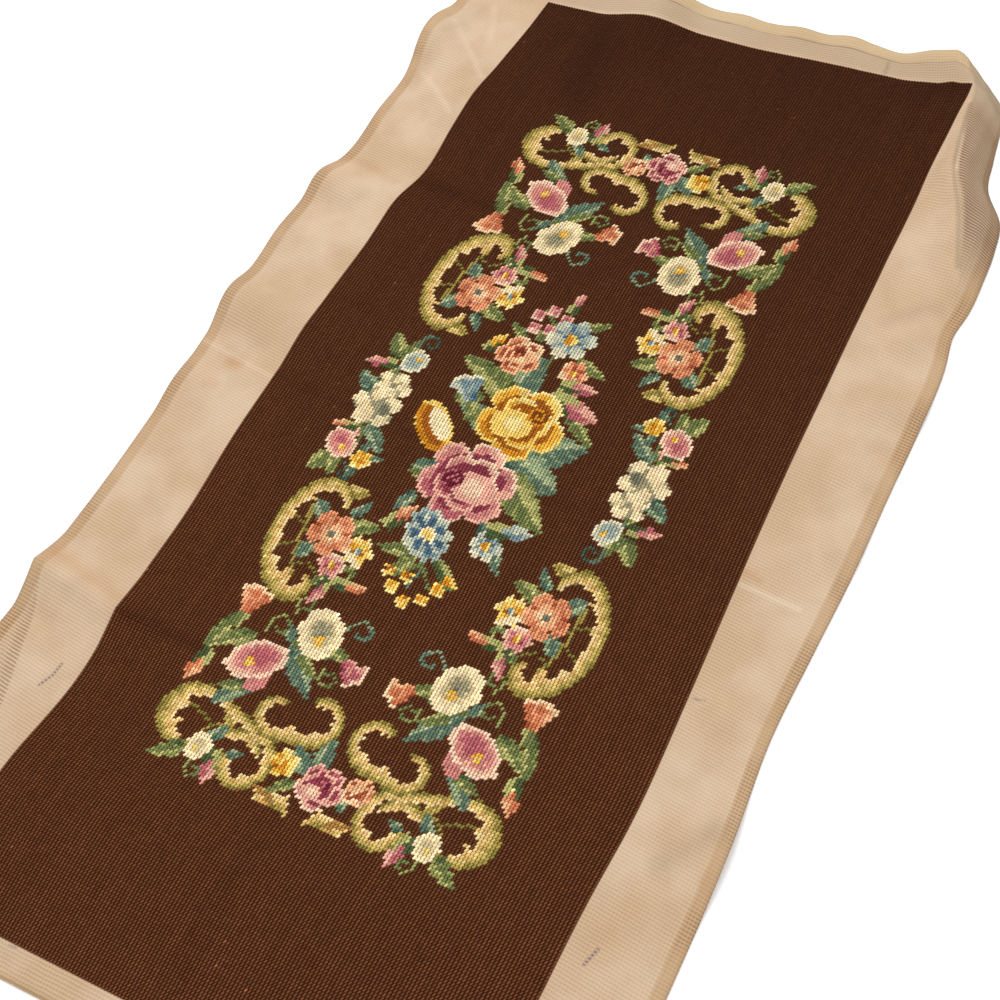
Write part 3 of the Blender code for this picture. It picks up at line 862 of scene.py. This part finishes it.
def bouquet():
    """The middle spray: a gold rose over a mauve one, a blue daisy, small roses and bells round them."""
    at = facing(1, 1)
    stem(at, [(-1.5, 58), (-3.5, 50), (-1, 40), (-2, 20)], "leaf", 3)
    stem(at, [(-11, 50), (-6, 46), (-1, 40)], "leaf", 3)
    stem(at, [(-5.5, -38), (-5, -48), (-6, -56)], "teal", 3)
    stem(at, [(-12, -54), (-5.5, -47), (0, -54)], "leaf", 3)
    leaf(at, -12, 38, 8, 4, 150, "leaf")
    leaf(at, -9, 38, 9, 4, 62, "leaf")
    leaf(at, 6, 37, 12, 4.5, -22, "leaf", 0.05)
    leaf(at, 3, 48, 9, 4, 30, "leaf")
    leaf(at, -7.5, 13, 21, 12.5, 76, "teal")
    leaf(at, -6, 15, 19, 10.5, 150, "leaf", 0.08)
    leaf(at, -16, 22, 11, 7, 168, "leaf")
    leaf(at, -3, 3, 19, 9.5, 160, "teal", -0.1)
    leaf(at, -14, 13, 10, 6, 205, "leaf")
    leaf(at, 3, -2, 22, 15, 24, "teal", -0.04)
    leaf(at, 2, -4, 20, 15, -20, "teal")
    leaf(at, 3, -9, 25, 12.5, -40, "leaf", 0.06)
    leaf(at, 12, 18, 16, 5.5, -40, "leaf", 0.15)
    leaf(at, 5, -28, 18, 7, -52, "teal", -0.15)
    leaf(at, -2, -44, 12, 5, -45, "leaf")
    leaf(at, -8, -44, 13, 5, 192, "leaf")
    leaf(at, -8, -45, 10, 5, 238, "leaf")
    leaf(at, -16, -15, 8, 5, 200, "teal")
    leaf(at, -13, -21, 11, 5, 172, "leaf")
    leaf(at, -17.5, -26, 9, 4.5, 245, "teal")
    for x, y in ((-3.4, 48.5), (-8.2, 51.0), (-12.2, 47.6), (-11.6, 42.8), (-6.6, 43.2), (-2.0, 46.0)):
        blossom(at, x, y, 2.5, "mauve", 4, 45, "mauve")
    bud(at, -3.4, 54.0, 6.5, 82, "mauve")
    blossom(at, 1.2, 42.6, 8.2, "blue", 6, 15)
    rose(at, -10.8, 31.0, 7.6, "coral", 5, 10, (0.1, -0.1), (-0.05, 0.15))
    bud(at, -21.0, 31.0, 6.5, 62, "gold")
    blossom(at, 7.6, 31.2, 4.8, "coral", 5)
    bud(at, 8.5, 26.0, 9, 8, "mauve")
    bud(at, 9.0, 20.0, 13, -14, "mauve")
    bell(at, -16.2, 8.4, 11.5, 124, "blue")
    leaf(at, -16.5, 2.5, 8, 4.5, 50, "leaf")
    oval(at, -23.4, -2.8, 9.8, 5.6, -52, "gold", 0.8)
    oval(at, -24.2, -3.4, 9.0, 4.2, -52, "gold", 2.6)
    oval(at, -23.4, -2.8, 7.6, 3.4, -52, "gold", 3.8)
    oval(at, -22.2, -1.4, 6.2, 2.9, -50, "cream", 0.3)
    rose(at, 0.6, 8.4, 14.0, "gold", 5, 25, (-0.16, -0.08), (0.28, 0.3))
    rose(at, -5.0, -17.2, 15.0, "mauve", 6, -10, (0.16, -0.08), (-0.33, 0.0))
    bud(at, -19.5, -37.5, 8.5, 58, "coral")
    anemone(at, -8.0, -37.8, 9.6, 7.4, 118, "blue")
    blossom(at, 9.2, -34.6, 5.2, "blue", 6)
    bud(at, 10.5, -28.6, 10, 14, "blue")
    for x, y in ((-13.2, -52.6), (-10.4, -57.0), (-5.2, -60.2), (-0.4, -57.6), (2.2, -53.2), (-7.8, -52.6)):
        blossom(at, x, y, 2.3, "gold", 4, 45)
    bud(at, 1.8, -47.6, 6.5, -32, "gold")


for end in (1, -1):
    for side in (1, -1):
        end_group(side, end)
        bracket(side, end)
    at = facing(end, end)
    leaf(at, 2.5, 115, 10, 6, -95, "teal")
    leaf(at, 4.0, 117, 9, 6, -40, "teal")
    leaf(at, 5.0, 120, 9, 4, 42, "leaf")
    leaf(at, -6.0, 118, 7, 4, 130, "teal")
    rose(at, -1.2, 119.2, 7.0, "mauve", 5, 60, (0.2, 0.3), (-0.2, -0.15))
    rose(at, -11.6, 116.2, 4.4, "coral", 5)
    blossom(at, 11.2, 117.0, 4.2, "gold", 5)
garland(-1, 1)
garland(1, -1)
bouquet()

# The stitches: tent stitch in matt tapestry wool, each a fat slanting pad that covers one crossing of the
# canvas threads, from the hole at its lower left to the hole at its upper right.
# A pad's foot is sunk a little into the canvas, and its two rings stand at these shares along it.
SUNK = 0.0001
PAD_STATIONS = (-0.6, 0.6)
# A pad reaches its slant along and its side step aside, in columns and rows, and its top has a few sides.
# Down those its colour is painted in shade, deeper by a power and dimmer by a share; its tips lie between.
Pad = namedtuple("Pad", "sides height slant side power share tip")
GROUND_PAD = Pad(2, 0.0015, (0.26, 0.60), (0.44, -0.12), 1.25, 0.75, 0.4)
FLOWER_PAD = Pad(3, 0.0013, (0.31, 0.65), (0.60, -0.12), 1.08, 0.92, 0.85)
# Worked by hand, the pads differ: in width and height, as shares of the usual ones, and in lean, and in the
# light that each keeps, as does each column. A few are pale flecks.
PAD_LEAST = (0.9, 0.85, -0.07)
PAD_MOST = (1.08, 1.12, 0.07)
PAD_LIGHT = (0.86, 1.14)
COLUMN_LIGHT = (0.93, 1.07)
FLECK_SHARE = 0.001
FLECK_LIGHT = 0.9
# Each pad has a cell of the unit square for its bake, but for a margin round it.
CELL_MARGIN = 0.08
# Creases from years of lying folded in quarters, in shade on the wool
CREASES = (
    Streak(-1, 89, 26, 88.5, 4, 0.25),
    Streak(0, 175.5, 157, 164.5, 3, 0.14),
    Streak(0, 260, 32, 259, 4, 0.25),
    Streak(0, 208, 18, 209, 3, 0.12),
    Streak(27, 345, 33, 312, 10, 0.3),
    Streak(72, 0, 73, 46, 4, 0.12),
    Streak(155, 353, 140, 350, 6, 0.25),
)


def kept_light():
    """The share of its light that each stitch keeps: less by a crease's strength on its line, rising
    straight to all of it at its half width."""
    kept = np.ones(chart.shape)
    for crease in CREASES:
        line = np.array([(crease.column, crease.row), (crease.end_column, crease.end_row)], float)
        distance, _, _ = from_path((stitch_column, stitch_row), line)
        kept *= 1 - crease.strength * np.clip(1 - distance / crease.half, 0, 1)
    return kept


def pad_shape(sides):
    """The points and triangles of one pad. Along it runs t, from -1 to 1, and round its top an angle from 0
    to pi. Its points are its two tips and two rings, and its flat bottom closes each ring. Every corner of
    a triangle also has its place in the unit square, round across and t along, with the bottom last."""
    angles = np.linspace(0, np.pi, sides + 1)
    points = [(-1.0, 0.0)] + [(t, angle) for t in PAD_STATIONS for angle in angles] + [(1.0, 0.0)]
    tip = len(points) - 1
    ring = sides + 1
    triangles, places = [], []
    for k in range(ring):
        here, there = k, (k + 1) % ring
        low, high = (1 + here, 1 + there), (1 + ring + here, 1 + ring + there)
        left, right = k / ring, (k + 1) / ring
        triangles += [(0, low[1], low[0]), (low[0], low[1], high[1]), (low[0], high[1], high[0])]
        triangles += [(tip, high[0], high[1])]
        places += [((left + right) / 2, 0), (right, 0.25), (left, 0.25)]
        places += [(left, 0.25), (right, 0.25), (right, 0.75), (left, 0.25), (right, 0.75), (left, 0.75)]
        places += [((left + right) / 2, 1), (left, 0.75), (right, 0.75)]
    return np.array(points), np.array(triangles), np.array(places)


def stitches(name, columns, rows, colours, pad, material, seed):
    """Pads on the stitches named. A pad's point lies at its stitch's middle, plus t times the slant, plus
    the cosine of its angle times the side step, plus the sine times the height. The side step and the
    height swell as the root of 1 - t squared. Each pad is a little wider, higher or askew at random."""
    random = np.random.default_rng(seed)
    count = len(columns)
    u, v = columns + 0.5, rows + 0.5
    centre = cloth(u, v) - middle
    across = cloth(u + 0.5, v) - cloth(u - 0.5, v)
    along = cloth(u, v + 0.5) - cloth(u, v - 0.5)
    up = np.cross(across, along)
    up /= np.linalg.norm(up, axis=1, keepdims=True)

    points, triangles, places = pad_shape(pad.sides)
    t, angle = points.T
    swell = np.sqrt(np.clip(1 - t**2, 0, 1))
    wide, high, lean = random.uniform(PAD_LEAST, PAD_MOST, (count, 3)).T
    side = np.cos(angle) * swell
    step_u = np.outer(1 + lean, t * pad.slant[0]) + np.outer(wide, side * pad.side[0])
    step_v = t * pad.slant[1] + np.outer(wide, side * pad.side[1])
    step_up = CANVAS_THICK - SUNK + np.outer(high * pad.height, np.sin(angle) * swell)
    where = centre[:, None] + step_u[..., None] * across[:, None] + step_v[..., None] * along[:, None]
    where = where + step_up[..., None] * up[:, None]

    first = np.arange(count)[:, None, None] * len(points)
    piece = new_piece(name, where, (first + triangles).reshape(-1, 3), material)

    column_wear = np.random.default_rng(WOOL_COLUMNS).uniform(*COLUMN_LIGHT, WOOL_COLUMNS)
    # Random tone by column and by pad, times the painted shade of the creases
    wear_and_crease_shade = column_wear[columns] * random.uniform(*PAD_LIGHT, count) * light[columns, rows]
    wear_and_crease_shade = (wear_and_crease_shade * (1 + FLECK_LIGHT * (random.random(count) < FLECK_SHARE)))[:, None, None]
    # Painted shade: a pad's colour deepens and dims down its sides and towards its tips
    crest = np.maximum(np.sin(angle), pad.tip * (np.abs(t) == 1))[:, None]
    power = pad.power + (1 - pad.power) * crest
    yarn = piece.data.attributes.new("yarn", "FLOAT_COLOR", "POINT")
    rgba = np.ones((count, len(points), 4), np.float32)
    rgba[..., :3] = wear_and_crease_shade * colours[:, None] ** power * (pad.share + (1 - pad.share) * crest)
    yarn.data.foreach_set("color", rgba.ravel())

    cells = int(np.ceil(np.sqrt(count)))
    cell = np.stack([np.arange(count) % cells, np.arange(count) // cells], axis=1)
    inner = CELL_MARGIN + (1 - 2 * CELL_MARGIN) * places
    set_uv(piece, "OFBake", (cell[:, None] + inner) / cells)
    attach(piece, "root")
    return piece


def wool():
    """Matt wool: the yarn's colour with fine fuzz, soft patches, and streaks along the columns."""
    made, wire, shader = new_material("tapestry_wool", 1.0)
    yarn = wire.node("ShaderNodeAttribute", {"attribute_name": "yarn"})
    place = wire.node("ShaderNodeTexCoord", {}, {}, 3)
    across = wire.node("ShaderNodeSeparateXYZ", {}, {"Vector": place}, 0)
    along = wire.node("ShaderNodeSeparateXYZ", {}, {"Vector": place}, 1)
    drawn = wire.node("ShaderNodeCombineXYZ", {}, {"X": across * 320, "Y": along * 14})
    fuzz = place.noise(2500.0, 3.0)
    patch = place.noise(45.0, 2.0)
    shade = 0.62 + fuzz * 0.3 + patch * 0.16 + drawn.noise(1.0, 2.0) * 0.3
    grey = wire.node("ShaderNodeCombineColor", {}, {0: shade, 1: shade, 2: shade})
    multiply = {"data_type": "RGBA", "blend_type": "MULTIPLY"}
    tone = wire.node("ShaderNodeMix", multiply, {0: 1.0, 6: yarn, 7: grey}, 2)
    bump = wire.node("ShaderNodeBump", {}, {"Strength": 0.5, "Distance": 0.0003, "Height": fuzz})
    made.node_tree.links.new(tone.socket, shader.inputs["Base Color"])
    made.node_tree.links.new(bump.socket, shader.inputs["Normal"])
    return made


light = kept_light()
wool_material = wool()
linear = np.array([screen(*shade)[:3] for shade in yarn_colours])
# The flowers' colours have yellowed with age. The brown wool is painted darker towards the far end as painted
# shade, by a share of itself there, and the flowers a little.
YELLOWED = (0.98, 0.93, 0.83)
linear[SHADES:] *= YELLOWED
far_share = (np.arange(WOOL_ROWS) / WOOL_ROWS) ** 1.5
Sewing = namedtuple("Sewing", "kind worked parts pad deeper")
SEWINGS = (
    Sewing("ground", chart < SHADES, ("near", "middle", "far"), GROUND_PAD, 0.55),
    Sewing("flower", chart >= SHADES, ("near", "far"), FLOWER_PAD, 0.16),
)
sewn = []
for sewing in SEWINGS:
    by_row = np.argwhere(sewing.worked.T)
    for part, places in zip(sewing.parts, np.array_split(by_row, len(sewing.parts))):
        v, u = places.T
        # Painted shade: darker towards the far end by the sewing's deeper share
        yarn = linear[chart[u, v]] * (1 - sewing.deeper * far_share[v])[:, None]
        name = f"{sewing.kind}_stitches_{part}"
        sewn.append(stitches(name, u, v, yarn, sewing.pad, wool_material, len(sewn)))

# The floor and the light of a plain pale studio
floor_mesh = bpy.data.meshes.new("floor")
floor_mesh.from_pydata([(-4, -4, 0), (4, -4, 0), (4, 6, 0), (-4, 6, 0)], [], [(0, 1, 2, 3)])
floor = bpy.data.objects.new("floor", floor_mesh)
floor_material, _, floor_shader = new_material("pale_floor", 0.9)
floor_shader.inputs["Base Color"].default_value = (0.92, 0.92, 0.92, 1.0)
floor_mesh.materials.append(floor_material)
bpy.context.scene.collection.objects.link(floor)

world = bpy.data.worlds.new("studio")
world.use_nodes = True
world.node_tree.nodes["Background"].inputs["Color"].default_value = (1.0, 1.0, 1.0, 1.0)
world.node_tree.nodes["Background"].inputs["Strength"].default_value = 0.9
bpy.context.scene.world = world
bpy.context.scene.view_settings.view_transform = "Standard"

Lamp = namedtuple("Lamp", "name place size power")
LAMPS = (
    Lamp("soft_key", (-1.2, 1.6, 2.2), 1.6, 45),
    Lamp("soft_fill", (1.6, -1.4, 2.0), 2.0, 15),
)
for lamp in LAMPS:
    light = bpy.data.lights.new(lamp.name, "AREA")
    light.size = lamp.size
    light.energy = lamp.power
    holder = bpy.data.objects.new(lamp.name, light)
    place = Vector(lamp.place)
    holder.matrix_world = Matrix.Translation(place) @ place.to_track_quat("Z", "Y").to_matrix().to_4x4()
    bpy.context.scene.collection.objects.link(holder)
